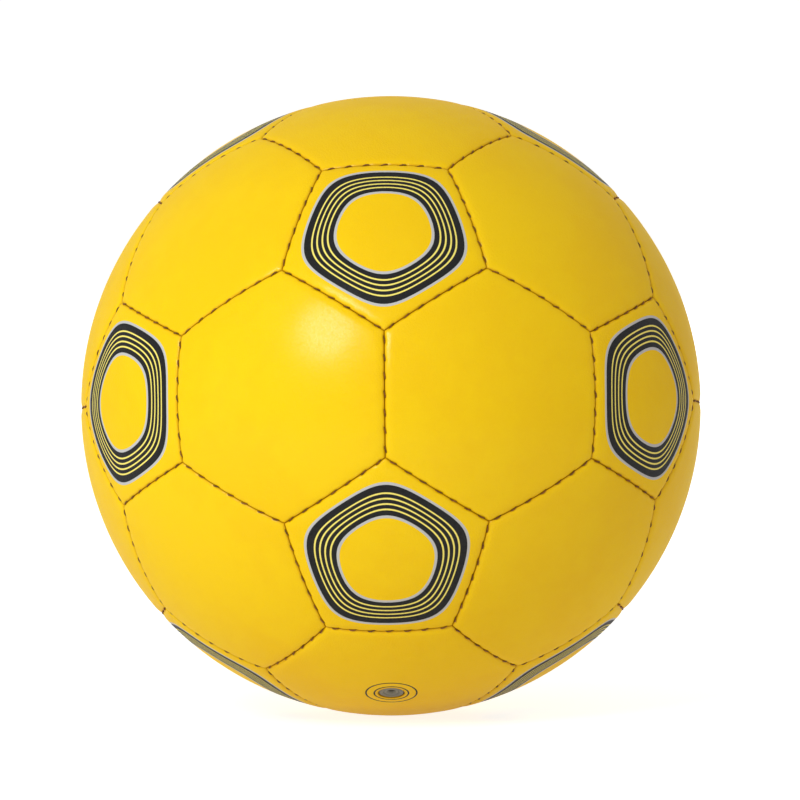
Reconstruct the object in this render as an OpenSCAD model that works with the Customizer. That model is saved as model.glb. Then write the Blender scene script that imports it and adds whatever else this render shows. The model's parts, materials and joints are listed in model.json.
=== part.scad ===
// Handball of 32 stitched panels over an inflated bladder, in millimetres.
// The origin is the centre of the ball, +Z is up and -Y is the side that faces the viewer.
// Twelve pentagons and twenty hexagons lie on one sphere. Each panel is a cover, a foam and a lining,
// nested trays whose edges turn inwards at the seams. The valve sits in the hexagon at the bottom front.

/* [Ball] */
// Diameter over the panels
ball_d = 188; // [150:1:200]
// Turn of the whole ball about X, which rests it on the smooth face of a hexagon
rest_tilt = -7.2; // [-12:0.1:12]

/* [Panels] */
// Thickness of the synthetic leather cover
cover_t = 1.1; // [0.8:0.1:1.6]
// Thickness of the foam behind the cover
foam_t = 1.2; // [0.8:0.1:2]
// Thickness of the woven lining behind the foam
lining_t = 1.5; // [0.8:0.1:2]
// Adhesive line between layers that are bonded to each other
bond_t = 0.06; // [0.05:0.01:0.1]
// How far the turned edges stand inwards of the lining
edge_overhang = 1.6; // [1.2:0.1:3]
// Gap between the turned edges of neighbouring panels
seam_gap = 0.3; // [0.2:0.05:0.5]
// Width over which a panel's shoulder rolls off into the seam
shoulder_roll = 0.6; // [0.3:0.1:1.2]

/* [Stitches] */
// Diameter of the waxed thread
thread_d = 0.5; // [0.4:0.05:0.7]
// Length of thread that shows at each stitch
stitch_l = 2; // [1.4:0.1:2.4]
// Distance from stitch to stitch along a seam
stitch_pitch = 5.3; // [4:0.1:8]
// Angle between a stitch and its seam
stitch_slant = 13; // [0:1:18]
// How far the top of the thread lies below the surface of the ball
stitch_recess = 0.05; // [0.02:0.01:0.2]
// Clearance between the thread and the shoulders beside it
stitch_gap = 0.1; // [0.08:0.01:0.2]

/* [Bladder] */
// Thickness of the rubber bladder
bladder_t = 0.9; // [0.6:0.1:1.5]
// Clearance between the bladder and the turned edges that it presses against
bladder_gap = 0.12; // [0.1:0.01:0.3]
// Diameter of the reinforcing patch round the valve
patch_d = 30; // [22:1:36]
// Thickness of the reinforcing patch
patch_t = 0.8; // [0.5:0.1:1.2]

/* [Valve] */
// Outer diameter of the neck that shows in the panel
neck_d = 7.4; // [6.6:0.1:9]
// Clearance round the neck in the panel
neck_gap = 0.25; // [0.15:0.05:0.5]
// How far the neck ends below the surface of the ball
neck_recess = 0.3; // [0.2:0.05:0.6]
// Diameter of the flange that is bonded inside the bladder
flange_d = 26; // [18:1:30]
// Thickness of the flange
flange_t = 1.2; // [0.8:0.1:2]
// Outer diameter of the barrel inside the bladder
barrel_d = 12; // [10:0.5:16]
// Thickness of the barrel's inner end
barrel_end_t = 1.4; // [1:0.1:3]
// Diameter of the air hole through the barrel's inner end
air_hole_d = 1.6; // [1:0.1:2.5]
// Diameter of the sealing plug
plug_d = 4.6; // [4:0.1:5.4]
// Length of the sealing plug
plug_l = 18; // [15:0.5:24]
// How far the plug ends below the top of the neck
plug_recess = 0.25; // [0.1:0.05:0.5]
// Radial clearance of the plug in its bore
plug_fit = 0.05; // [0.03:0.01:0.08]
// Diameter of the hole that guides the inflation needle
needle_d = 2.1; // [2:0.05:2.4]
// Depth of the needle hole below its funnel
needle_depth = 6.5; // [4:0.5:9]
// Diameter of the funnel at the mouth of the needle hole
funnel_d = 3.2; // [2.8:0.1:3.6]
// Depth of the funnel
funnel_depth = 0.6; // [0.4:0.1:1]

/* [Hidden] */
$fn = 96;
ball_r = ball_d / 2;
seam_half = seam_gap / 2;

// Each layer's outer radius, and its edge's distance from the middle of the seam
cover_r = ball_r;
cover_edge = seam_half;
foam_r = cover_r - cover_t - bond_t;
foam_edge = cover_edge + cover_t + bond_t;
lining_r = foam_r - foam_t - bond_t;
lining_edge = foam_edge + foam_t + bond_t;
panel_inner_r = lining_r - lining_t;
turned_end_r = panel_inner_r - edge_overhang;

// The groove: the thread lies in it with its own clearance, and the seam opens below it
thread_r = thread_d / 2;
thread_depth = thread_r + stitch_recess;
groove_depth = thread_depth + thread_d + stitch_gap;
groove_half = stitch_l / 2 * sin(stitch_slant) + thread_r + stitch_gap;
shoulder_half = groove_half + shoulder_roll;
thread_end_share = 0.55;

// The dimple at each corner, just wide enough to take in the ends of the shoulders' cuts.
// A pentagon's corner is the sharpest, and a seam meets its side at half that corner's angle.
half_corner_angle = 54;
corner_reach = shoulder_half / tan(half_corner_angle) + stitch_gap;
dimple_depth = groove_depth + stitch_recess;
dimple_top_r = norm([corner_reach, shoulder_half]) + stitch_gap;
dimple_foot_r = norm([corner_reach, seam_half]) + stitch_gap;

bladder_r = turned_end_r - bladder_gap;
bladder_inner_r = bladder_r - bladder_t;

// Heights along the valve's axis, measured from the centre of the ball
neck_top = ball_r - neck_recess;
plug_top = neck_top - plug_recess;
plug_bottom = plug_top - plug_l;
barrel_bottom = plug_bottom - plug_fit - barrel_end_t;
flange_r = bladder_inner_r - bond_t;
panel_hole_d = neck_d + 2 * neck_gap;
plug_bore_d = plug_d + 2 * plug_fit;
plug_chamfer = (plug_d - needle_d) / 4;
flange_middle = flange_r - flange_t / 2;

// Reach of a cutting block, and how far a cut runs past what it cuts
reach = 1.2 * ball_r;
overrun = 0.5;

// Directions of the panels' centres, from the golden ratio. The viewer is at -Y.
phi = (1 + sqrt(5)) / 2;
far = 2 * phi + 1;
PENTAGONS = [
    ["front_upper_pentagon_panel", [0, -phi, 1]],
    ["front_lower_pentagon_panel", [0, -phi, -1]],
    ["back_upper_pentagon_panel", [0, phi, 1]],
    ["back_lower_pentagon_panel", [0, phi, -1]],
    ["top_right_pentagon_panel", [1, 0, phi]],
    ["top_left_pentagon_panel", [-1, 0, phi]],
    ["bottom_right_pentagon_panel", [1, 0, -phi]],
    ["bottom_left_pentagon_panel", [-1, 0, -phi]],
    ["right_front_pentagon_panel", [phi, -1, 0]],
    ["right_back_pentagon_panel", [phi, 1, 0]],
    ["left_front_pentagon_panel", [-phi, -1, 0]],
    ["left_back_pentagon_panel", [-phi, 1, 0]]
];
HEXAGONS = [
    ["front_right_hexagon_panel", [phi, -far, 0]],
    ["front_left_hexagon_panel", [-phi, -far, 0]],
    ["back_right_hexagon_panel", [phi, far, 0]],
    ["back_left_hexagon_panel", [-phi, far, 0]],
    ["top_front_hexagon_panel", [0, -phi, far]],
    ["top_back_hexagon_panel", [0, phi, far]],
    ["valve_hexagon_panel", [0, -phi, -far]],
    ["bottom_back_hexagon_panel", [0, phi, -far]],
    ["right_upper_hexagon_panel", [far, 0, phi]],
    ["right_lower_hexagon_panel", [far, 0, -phi]],
    ["left_upper_hexagon_panel", [-far, 0, phi]],
    ["left_lower_hexagon_panel", [-far, 0, -phi]],
    ["front_right_upper_hexagon_panel", [1, -1, 1]],
    ["front_right_lower_hexagon_panel", [1, -1, -1]],
    ["front_left_upper_hexagon_panel", [-1, -1, 1]],
    ["front_left_lower_hexagon_panel", [-1, -1, -1]],
    ["back_right_upper_hexagon_panel", [1, 1, 1]],
    ["back_right_lower_hexagon_panel", [1, 1, -1]],
    ["back_left_upper_hexagon_panel", [-1, 1, 1]],
    ["back_left_lower_hexagon_panel", [-1, 1, -1]]
];
VALVE_PANEL = "valve_hexagon_panel";

// Angles at the centre of the ball: from a panel's middle to the middle of its side, and along a seam
hexagon_side_angle = acos(unit(HEXAGONS[0][1]) * unit(HEXAGONS[1][1])) / 2;
pentagon_side_angle = acos(unit(PENTAGONS[0][1]) * unit(HEXAGONS[0][1])) - hexagon_side_angle;
seam_angle = 2 * asin(2 / sqrt(58 + 18 * sqrt(5)));
seam_l = ball_r * seam_angle * PI / 180;
stitches_per_seam = max(1, round(seam_l / stitch_pitch));

function unit(v) = v / norm(v);
function side_angle(sides) = sides == 5 ? pentagon_side_angle : hexagon_side_angle;
function corner_angle(sides) = acos(cos(side_angle(sides)) * cos(seam_angle / 2));

// The centre in a list of panels that lies nearest to a direction
function nearest(direction, panels) =
    let (
        centres = [for (panel = panels) unit(panel[1])],
        closeness = [for (centre = centres) centre * unit(direction)]
    )
    centres[search(max(closeness), closeness)[0]];

// Children drawn with their +Z along a direction and their +X turned towards another
module facing(direction, towards) {
    z = unit(direction);
    x = unit(towards - (towards * z) * z);
    y = cross(z, x);
    multmatrix([
        [x[0], y[0], z[0], 0],
        [x[1], y[1], z[1], 0],
        [x[2], y[2], z[2], 0],
        [0, 0, 0, 1]
    ])
        children();
}

// Children drawn on a panel, with +Z out of its middle and +X towards a side that meets the other kind
module on_panel(panel, neighbours) {
    rotate([rest_tilt, 0, 0])
        facing(panel[1], nearest(panel[1], neighbours))
            children();
}

// A ball whose poles lie at the sides of the panel that it is cut to
module ball(r) {
    rotate([0, 90, 0])
        sphere(r);
}

// Children drawn on one side of a panel: +X is square to the seam's plane, +Z runs out to its middle
module on_side(sides, side) {
    rotate([0, 0, side * 360 / sides])
        rotate([0, side_angle(sides), 0])
            children();
}

// The pyramid from the ball's centre to a panel's sides, set in from the middle of the seams
module wedge(sides, edge) {
    intersection_for (side = [0 : sides - 1])
        on_side(sides, side)
            translate([-edge - reach, -reach / 2, 0])
                cube(reach);
}

// One layer of a panel: a skin with its edges turned in by the same wall
module tray(sides, edge, skin_r, wall_t) {
    difference() {
        intersection() {
            wedge(sides, edge);
            ball(skin_r);
        }
        ball(turned_end_r);
        intersection() {
            wedge(sides, edge + wall_t);
            ball(skin_r - wall_t);
        }
    }
}

// What is cut off along one side so that the panel's shoulder rolls into the seam.
// It turns about the seam's own axis, and ends inside the dimples at both corners.
module shoulder_cut() {
    slope = (groove_depth - thread_depth) / (groove_half - seam_half);
    roll_slope = thread_depth / shoulder_roll;
    outer_r = ball_r + roll_slope * overrun;
    arc = seam_angle - 2 * atan(corner_reach / ball_r);
    rotate([0, -90, 0])
        rotate([0, 0, -arc / 2])
            rotate_extrude(angle = arc)
                polygon([
                    [ball_r - thread_depth - slope * (groove_half + overrun), -overrun],
                    [outer_r + overrun, -overrun],
                    [outer_r + overrun, shoulder_half + overrun],
                    [outer_r, shoulder_half + overrun],
                    [ball_r - thread_depth, groove_half]
                ]);
}

// The dimple where three panels meet, cut from one corner of a panel
module dimple_cut(sides, side) {
    widening = (dimple_top_r - dimple_foot_r) / dimple_depth;
    rotate([0, 0, (side + 0.5) * 360 / sides])
        rotate([0, corner_angle(sides), 0])
            translate([0, 0, ball_r - dimple_depth])
                cylinder(
                    r1 = dimple_foot_r,
                    r2 = dimple_top_r + widening * overrun,
                    h = dimple_depth + overrun
                );
}

module cover(sides) {
    difference() {
        tray(sides, cover_edge, cover_r, cover_t);
        for (side = [0 : sides - 1]) {
            on_side(sides, side)
                shoulder_cut();
            dimple_cut(sides, side);
        }
    }
}

module foam(sides) {
    tray(sides, foam_edge, foam_r, foam_t);
}

module lining(sides) {
    tray(sides, lining_edge, lining_r, lining_t);
}

// The hole for the valve's neck, cut through every layer of its panel
module valve_hole() {
    translate([0, 0, turned_end_r])
        cylinder(d = panel_hole_d, h = reach - turned_end_r);
}

module pentagon_panel(panel) {
    color("gold")
        on_panel(panel, HEXAGONS)
            cover(5);
}

module hexagon_panel(panel) {
    color("gold")
        on_panel(panel, PENTAGONS)
            difference() {
                cover(6);
                if (panel[0] == VALVE_PANEL) valve_hole();
            }
}

module pentagon_foam() {
    color("whitesmoke")
        for (panel = PENTAGONS)
            on_panel(panel, HEXAGONS)
                foam(5);
}

module hexagon_foam() {
    color("whitesmoke")
        for (panel = HEXAGONS)
            on_panel(panel, PENTAGONS)
                difference() {
                    foam(6);
                    if (panel[0] == VALVE_PANEL) valve_hole();
                }
}

module pentagon_lining() {
    color("ivory")
        for (panel = PENTAGONS)
            on_panel(panel, HEXAGONS)
                lining(5);
}

module hexagon_lining() {
    color("ivory")
        for (panel = HEXAGONS)
            on_panel(panel, PENTAGONS)
                difference() {
                    lining(6);
                    if (panel[0] == VALVE_PANEL) valve_hole();
                }
}

// One stitch along Y with rounded ends
module stitch() {
    half = stitch_l / 2;
    rotate([90, 0, 0])
        rotate_extrude($fn = 24)
            polygon([
                [0, -half],
                [thread_r * thread_end_share, -half],
                [thread_r, thread_r - half],
                [thread_r, half - thread_r],
                [thread_r * thread_end_share, half],
                [0, half]
            ]);
}

// The stitches of one seam, in a frame with +Z out of its middle and Y along it
module seam_stitches() {
    for (i = [0 : stitches_per_seam - 1])
        rotate([seam_angle * ((i + 0.5) / stitches_per_seam - 0.5), 0, 0])
            translate([0, 0, ball_r - thread_depth])
                rotate([0, 0, stitch_slant])
                    stitch();
}

module pentagon_seam_stitches() {
    color("#2b2420")
        for (panel = PENTAGONS, side = [0 : 4])
            on_panel(panel, HEXAGONS)
                on_side(5, side)
                    seam_stitches();
}

module hexagon_seam_stitches() {
    last = len(HEXAGONS) - 1;
    centres = [for (panel = HEXAGONS) unit(panel[1])];
    color("#2b2420")
        rotate([rest_tilt, 0, 0])
            for (i = [0 : last - 1], j = [i + 1 : last])
                if (centres[i] * centres[j] > cos(3 * hexagon_side_angle))
                    facing(centres[i] + centres[j], centres[j])
                        seam_stitches();
}

// Children drawn along the valve's axis, with +Z out of the ball
module on_valve() {
    for (panel = HEXAGONS)
        if (panel[0] == VALVE_PANEL)
            on_panel(panel, PENTAGONS)
                children();
}

module bladder() {
    color("dimgray")
        on_valve()
            difference() {
                ball(bladder_r);
                ball(bladder_inner_r);
                cylinder(d = neck_d + 2 * bond_t, h = reach);
            }
}

module valve_patch() {
    color("dimgray")
        on_valve()
            difference() {
                intersection() {
                    ball(bladder_r + bond_t + patch_t);
                    cylinder(d = patch_d, h = reach);
                }
                ball(bladder_r + bond_t);
                cylinder(d = neck_d + 2 * bond_t, h = reach);
            }
}

// The flange follows the inside of the bladder, the neck reaches the panel, the barrel holds the plug
module valve_housing() {
    color("gray")
        on_valve()
            difference() {
                union() {
                    difference() {
                        intersection() {
                            ball(flange_r);
                            cylinder(d = flange_d, h = reach);
                        }
                        ball(flange_r - flange_t);
                    }
                    translate([0, 0, flange_middle])
                        cylinder(d = neck_d, h = neck_top - flange_middle);
                    translate([0, 0, barrel_bottom])
                        cylinder(d = barrel_d, h = flange_middle - barrel_bottom);
                }
                translate([0, 0, plug_bottom - plug_fit])
                    cylinder(d = plug_bore_d, h = reach);
                cylinder(d = air_hole_d, h = reach);
            }
}

// The plug slides in the barrel's bore, and its blind hole guides the needle
module valve_plug() {
    plug_r = plug_d / 2;
    hole_top = plug_top - funnel_depth;
    color("slategray")
        on_valve()
            rotate_extrude()
                polygon([
                    [0, plug_bottom],
                    [plug_r - plug_chamfer, plug_bottom],
                    [plug_r, plug_bottom + plug_chamfer],
                    [plug_r, plug_top],
                    [funnel_d / 2, plug_top],
                    [needle_d / 2, hole_top],
                    [needle_d / 2, hole_top - needle_depth],
                    [0, hole_top - needle_depth]
                ]);
}

for (panel = PENTAGONS)
    pentagon_panel(panel);
for (panel = HEXAGONS)
    hexagon_panel(panel);
pentagon_foam();
hexagon_foam();
pentagon_lining();
hexagon_lining();
pentagon_seam_stitches();
hexagon_seam_stitches();
bladder();
valve_patch();
valve_housing();
valve_plug();
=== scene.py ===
"""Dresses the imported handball: printed leather, stitches, the layers behind them, bladder and valve."""

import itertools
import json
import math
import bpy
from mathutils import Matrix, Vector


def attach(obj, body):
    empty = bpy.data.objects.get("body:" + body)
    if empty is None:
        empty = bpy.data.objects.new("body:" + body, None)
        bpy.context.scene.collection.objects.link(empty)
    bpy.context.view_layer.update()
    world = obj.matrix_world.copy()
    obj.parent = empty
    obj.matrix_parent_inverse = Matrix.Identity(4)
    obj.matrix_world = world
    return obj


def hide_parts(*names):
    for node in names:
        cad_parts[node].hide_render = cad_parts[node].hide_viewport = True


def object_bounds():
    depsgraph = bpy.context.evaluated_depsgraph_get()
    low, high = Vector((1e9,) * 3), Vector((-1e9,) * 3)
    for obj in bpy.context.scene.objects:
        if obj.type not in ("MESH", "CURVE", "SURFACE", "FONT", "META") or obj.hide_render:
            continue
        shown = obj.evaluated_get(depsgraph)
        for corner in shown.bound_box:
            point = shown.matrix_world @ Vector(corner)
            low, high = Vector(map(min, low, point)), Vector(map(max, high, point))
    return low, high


bl_info = {
    "name": "Stitched handball",
    "version": (1, 0, 0),
    "blender": (4, 5, 0),
    "location": "View3D > Sidebar > Handball",
    "description": "Builds the leather, thread, lining, bladder and valve of a hand-stitched ball",
    "category": "Add Mesh",
}

import bmesh
import bpy
import numpy as np
from bpy.props import FloatProperty, FloatVectorProperty, IntProperty, PointerProperty
from bpy.types import Operator, Panel, PropertyGroup
from mathutils import Matrix, Vector

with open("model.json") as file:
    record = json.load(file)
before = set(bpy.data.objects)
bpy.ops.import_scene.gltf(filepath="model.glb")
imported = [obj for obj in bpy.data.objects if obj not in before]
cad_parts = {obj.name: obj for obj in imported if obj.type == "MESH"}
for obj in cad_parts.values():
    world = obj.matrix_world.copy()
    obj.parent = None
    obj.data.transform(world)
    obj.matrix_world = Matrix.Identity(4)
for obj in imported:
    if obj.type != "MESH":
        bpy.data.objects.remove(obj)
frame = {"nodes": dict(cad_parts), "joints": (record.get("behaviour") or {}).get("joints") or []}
CAD_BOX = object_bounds()
MM = 0.001
WELD = 1e-6
CLOSE = 1e-7

# The ball's plan: twelve pentagons and twenty hexagons on one sphere, turned about X as the model is
BALL_R = round((CAD_BOX[1].z - CAD_BOX[0].z) / 2, 6)
GOLDEN = (1 + math.sqrt(5)) / 2
VALVE_AXIS = Vector(frame["joints"][0]["axis"]).normalized()
REST_TILT = math.atan2(VALVE_AXIS.z, VALVE_AXIS.y) - math.atan2(-GOLDEN * GOLDEN, -1)
BALL_TURN = Matrix.Rotation(REST_TILT, 3, "X")
PENTAGONS = [
    Vector(corner).normalized()
    for s, t in itertools.product((1, -1), repeat=2)
    for corner in ((0, s * GOLDEN, t), (t, 0, s * GOLDEN), (s * GOLDEN, t, 0))
]
NEIGHBOUR_COSINE = 0.4
HEXAGONS = [
    sum(trio, Vector()).normalized()
    for trio in itertools.combinations(PENTAGONS, 3)
    if all(a.dot(b) > NEIGHBOUR_COSINE for a, b in itertools.combinations(trio, 2))
]
HEXAGON_SIDE = HEXAGONS[0].angle(max(HEXAGONS[1:], key=HEXAGONS[0].dot)) / 2
SIDE_ANGLE = {
    6: HEXAGON_SIDE,
    5: PENTAGONS[0].angle(max(HEXAGONS, key=PENTAGONS[0].dot)) - HEXAGON_SIDE,
}
SEAM_ANGLE = 2 * math.asin(2 / math.sqrt(58 + 18 * math.sqrt(5)))
KINDS = {5: "pentagon", 6: "hexagon"}
SAME_WAY_COSINE = 0.999

# A direction along no seam and square to none, which tells the two ends and sides of any seam apart
ODD_WAY = Vector((0.31, 0.53, 0.79))


def paint(red, green, blue):
    """A colour written as on screen, 0 to 255, as Blender's linear colour."""
    levels = (c / 255 for c in (red, green, blue))
    return tuple(c / 12.92 if c < 0.04045 else ((c + 0.055) / 1.055) ** 2.4 for c in levels)


def number(name, description, default, **more):
    return FloatProperty(name=name, description=description, default=default, min=0.0, **more)


def length(name, description, millimetres):
    return number(name, description, millimetres * MM, precision=5, subtype="DISTANCE", unit="LENGTH")


def angle(name, description, degrees):
    given = {"name": name, "description": description, "default": math.radians(degrees)}
    return FloatProperty(**given, subtype="ANGLE", unit="ROTATION")


def colour(name, description, *screen):
    given = {"name": name, "description": description, "default": paint(*screen)}
    return FloatVectorProperty(**given, size=3, min=0.0, max=1.0, subtype="COLOR")


class PanelSizes(PropertyGroup):
    seam_half: length("Half seam", "Distance of a turned edge from the middle of its seam", 0.04)
    cover_t: length("Cover", "Thickness of the leather cover", 1.1)
    foam_t: length("Foam", "Thickness of the foam behind the cover", 1.2)
    lining_t: length("Lining", "Thickness of the woven lining", 1.5)
    bond_t: length("Bond", "Adhesive line between two layers", 0.06)
    edge_overhang: length("Overhang", "How far the turned edges stand inwards of the lining", 1.6)
    fall: length("Fall", "How far a panel's face falls towards its seam", 0.45)
    fall_width: length("Fall width", "Width of the edge that falls towards the seam", 2.8)
    shoulder_r: length("Shoulder", "Radius of the shoulder that rolls into the seam", 0.5)
    dent: length("Dent", "Depth of the dent that a stitch presses into the panels", 0.2)
    pucker: length("Pucker", "How far the edges are drawn in beside a stitch", 0.1)
    unevenness: length("Unevenness", "Depth of the soft waves in the leather's face", 0.025)
    hole_dip: length("Hole dip", "How far the face dips at the valve's hole", 0.1)


class StitchSizes(PropertyGroup):
    pitch: length("Pitch", "Distance from stitch to stitch", 5.3)
    thread_d: length("Thread", "Diameter of the waxed thread", 0.48)
    reach: length("Length", "Length of thread that lies across the seam", 2.5)
    sink: length("Sink", "Depth of the thread's middle below the ball's face", 0.38)
    dive: length("Dive", "How far the thread's ends bend down into their holes", 0.6)
    slant: angle("Slant", "Angle between a stitch and its seam", 15)
    twist: number("Twist", "Turns of the two plies in a stitch", 1.6)
    stray: length("Stray", "How far chance moves a stitch along its seam", 0.25)
    lean: angle("Lean", "How far chance turns a stitch", 5)
    pull: number("Pull", "Share by which chance changes how hard a stitch pulls", 0.3)
    pull_depth: length("Pull depth", "How much deeper a stitch lies that pulls twice as hard", 0.35)


class PrintSizes(PropertyGroup):
    inset: length("Inset", "Distance of the printed ring from the seam", 3.2)
    keyline: length("Keyline", "Width of the silver line on both sides of the ring", 0.7)
    outer_band: length("Outer band", "Width of the dark band next to the outer keyline", 1.9)
    pinstripe: length("Pinstripe", "Width of a pale pinstripe", 0.42)
    stripe_gap: length("Stripe gap", "Width of dark ink between two pinstripes", 0.95)
    inner_band: length("Inner band", "Width of the dark band next to the inner keyline", 1.3)
    rounding: length("Rounding", "How far the ring's corners are rounded", 4.0)
    valve_ring_r: length("Valve ring", "Inner radius of the smaller ring round the valve", 4.9)
    valve_line: length("Valve line", "Width of the two printed rings round the valve", 0.5)
    valve_gap: length("Valve gap", "Distance between the two rings round the valve", 2.0)
    pinstripes: IntProperty(name="Pinstripes", description="Number of pinstripes", default=4, min=1, max=6)


class BladderSizes(PropertyGroup):
    gap: length("Gap", "Clearance between the bladder and the turned edges", 0.12)
    wall: length("Wall", "Thickness of the rubber", 0.9)
    mould_line: length("Moulding line", "Depth of the moulding line round the middle", 0.08)
    mould_half: length("Half moulding line", "Half the width of the moulding line", 0.6)
    patch_d: length("Patch", "Diameter of the reinforcing patch", 30)
    patch_t: length("Patch thickness", "Thickness of the reinforcing patch", 0.8)
    patch_slope: length("Patch slope", "How far the patch's upper edge lies inwards of its lower edge", 0.8)


class ValveSizes(PropertyGroup):
    neck_d: length("Neck", "Diameter of the neck that shows in the panel", 7.4)
    neck_gap: length("Neck gap", "Clearance round the neck in the panel", 0.25)
    neck_recess: length("Neck recess", "How far the neck ends below the ball's face", 0.3)
    flange_d: length("Flange", "Diameter of the flange inside the bladder", 26)
    flange_t: length("Flange thickness", "Thickness of the flange", 1.2)
    barrel_d: length("Barrel", "Diameter of the barrel", 12)
    barrel_end: length("Barrel end", "Thickness of the barrel's inner end", 1.4)
    air_hole_d: length("Air hole", "Diameter of the hole in the barrel's inner end", 1.6)
    plug_d: length("Plug", "Diameter of the sealing plug", 4.6)
    plug_l: length("Plug length", "Length of the sealing plug", 18)
    plug_recess: length("Plug recess", "How far the plug ends below the neck", 0.25)
    plug_fit: length("Plug fit", "Clearance of the plug in its bore", 0.05)
    needle_d: length("Needle hole", "Diameter of the needle's hole", 2.1)
    needle_depth: length("Needle depth", "Depth of the needle's hole", 6.5)
    funnel_d: length("Funnel", "Diameter of the funnel at the needle's hole", 3.2)
    funnel_depth: length("Funnel depth", "Depth of the funnel", 0.6)


class Colours(PropertyGroup):
    leather: colour("Leather", "Yellow of the panels", 251, 207, 2)
    leather_deep: colour("Deep leather", "Yellow of the panels' warmer patches", 249, 202, 2)
    # The seam brown is painted shade in the seams, partly standing for wax; the darker yellow beside them
    # is painted shade on the rolled shoulders.
    seam: colour("Seam", "Brown of wax and shade in the seams", 168, 114, 8)
    seam_edge: colour("Seam edge", "Darker yellow of the leather beside the seams", 224, 172, 6)
    ink: colour("Ink", "Near black of the printed bands", 20, 20, 22)
    keyline: colour("Keyline", "Silver grey of the printed keylines", 196, 195, 198)
    pinstripe: colour("Pinstripe", "Pale yellow of the pinstripes", 250, 232, 120)
    thread: colour("Thread", "Brown of the waxed thread", 108, 62, 18)
    foam: colour("Foam", "White of the foam", 236, 234, 226)
    cloth: colour("Cloth", "Natural white of the lining", 214, 206, 186)
    rubber: colour("Rubber", "Near black of the bladder", 40, 40, 42)
    valve: colour("Valve", "Grey of the valve's rubber", 120, 118, 112)
    floor: colour("Floor", "Grey of the floor under its own glow", 205, 205, 205)


class StageSizes(PropertyGroup):
    azimuth: angle("Azimuth", "Turn of the camera round the ball", 1.08)
    elevation: angle("Elevation", "Height of the camera above the ball's middle", 5.0)
    roll: angle("Roll", "Turn of the camera about its own axis", 0.67)
    distance: length("Distance", "Distance from the camera to the ball's middle", 3760)
    aside: length("Aside", "How far the camera looks past the ball's middle, to the right", 2.76)
    above: length("Above", "How far the camera looks past the ball's middle, upwards", 1.76)
    lens: number("Lens", "Focal length of the camera", 557.6, subtype="DISTANCE_CAMERA", unit="CAMERA")
    key_turn: angle("Key turn", "Turn of the main lamp from the camera's direction", -24.5)
    key_rise: angle("Key rise", "Height of the main lamp", 26)
    key_level: number("Key level", "Light of the main lamp on a face turned to it", 0.44)
    side_turn: angle("Side turn", "Turn of the side lamp from the camera's direction", -62)
    side_rise: angle("Side rise", "Height of the side lamp", 4)
    side_level: number("Side level", "Light of the side lamp on a face turned to it", 0.2)
    back_turn: angle("Back turn", "Turn of the back lamp from the camera's direction", 165)
    back_rise: angle("Back rise", "Height of the back lamp", 20)
    back_level: number("Back level", "Light of the back lamp on a face turned to it", 0.26)
    lamp_size: length("Lamp size", "Width of each lamp", 500)
    lamp_reach: length("Lamp distance", "Distance from each lamp to the ball's middle", 1500)
    lamp_tint: colour("Lamp tint", "Cool white of the lamps", 245, 255, 252)
    ambient: number("Ambient", "Light of the surroundings on the ball", 0.47)
    ambient_tint: colour("Ambient tint", "Warm white that surroundings and floor give", 255, 245, 232)
    floor_glow: number("Floor glow", "Light that the floor adds on the ball", 0.24)
    floor_shown: number("Floor shown", "Light that the floor adds where it is seen", 0.78)
    floor_half: length("Floor", "Half the floor's width", 4000)
    floor_drop: length("Floor drop", "How far the floor lies below the ball", 0.02)


class HandballSettings(PropertyGroup):
    panels: PointerProperty(type=PanelSizes, name="Panels")
    stitches: PointerProperty(type=StitchSizes, name="Stitches")
    printing: PointerProperty(type=PrintSizes, name="Print")
    bladder: PointerProperty(type=BladderSizes, name="Bladder")
    valve: PointerProperty(type=ValveSizes, name="Valve")
    colours: PointerProperty(type=Colours, name="Colours")
    stage: PointerProperty(type=StageSizes, name="Stage")


# Materials

WHITE = (1.0, 1.0, 1.0, 1.0)
GRAIN_DEPTH = 0.07 * MM
FIBRE_DEPTH = 0.03 * MM
FOAM_DEPTH = 0.12 * MM
WEAVE_DEPTH = 0.12 * MM
RUBBER_DEPTH = 0.04 * MM
WEAVE_PITCH = 1.1 * MM

# The softness of the print's edges, and how far the leather's fine grain makes them wander
INK_EDGE = 0.02 * MM
INK_WANDER = 0.08 * MM


def math_operator(operation, reflected=False):
    """A Python operator of Value, or its reflected form, that adds a Math node."""

    def combined(self, other):
        return self.nodes.math(operation, *((other, self) if reflected else (self, other)))

    return combined


class Value:
    """A socket that takes part in Python arithmetic. Each operator adds one Math node."""

    def __init__(self, nodes, socket):
        self.nodes = nodes
        self.socket = socket

    def other(self, name):
        """Another output of the same node."""
        return Value(self.nodes, self.socket.node.outputs[name])

    __add__, __radd__ = math_operator("ADD"), math_operator("ADD", True)
    __sub__, __rsub__ = math_operator("SUBTRACT"), math_operator("SUBTRACT", True)
    __mul__, __rmul__ = math_operator("MULTIPLY"), math_operator("MULTIPLY", True)
    __truediv__, __rtruediv__ = math_operator("DIVIDE"), math_operator("DIVIDE", True)


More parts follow.
